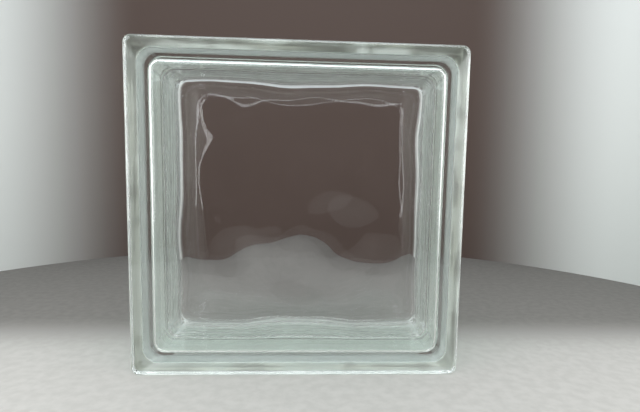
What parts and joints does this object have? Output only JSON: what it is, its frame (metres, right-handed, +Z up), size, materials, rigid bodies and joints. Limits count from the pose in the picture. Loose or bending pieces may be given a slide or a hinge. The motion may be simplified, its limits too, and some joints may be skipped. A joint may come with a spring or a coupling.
{
  "type": "glass block",
  "caption": "Square hollow block of clear glass with wavy faces, square lips and a mortar channel round its edge.",
  "frame": {"origin": "middle of the underside, on the level that the block stands on", "axes": "+X along the width of the face, +Y through the depth towards the back face, +Z up; the front face looks towards -Y"},
  "size_m": [0.19, 0.08, 0.19],
  "materials": {
    "clear_glass": "pressed clear glass with a faint green tint, smooth outside faces, wavy inside faces and a dull mortar channel"
  },
  "bodies": {
    "root": {"glass_block": "clear_glass"}
  },
  "joints": []
}
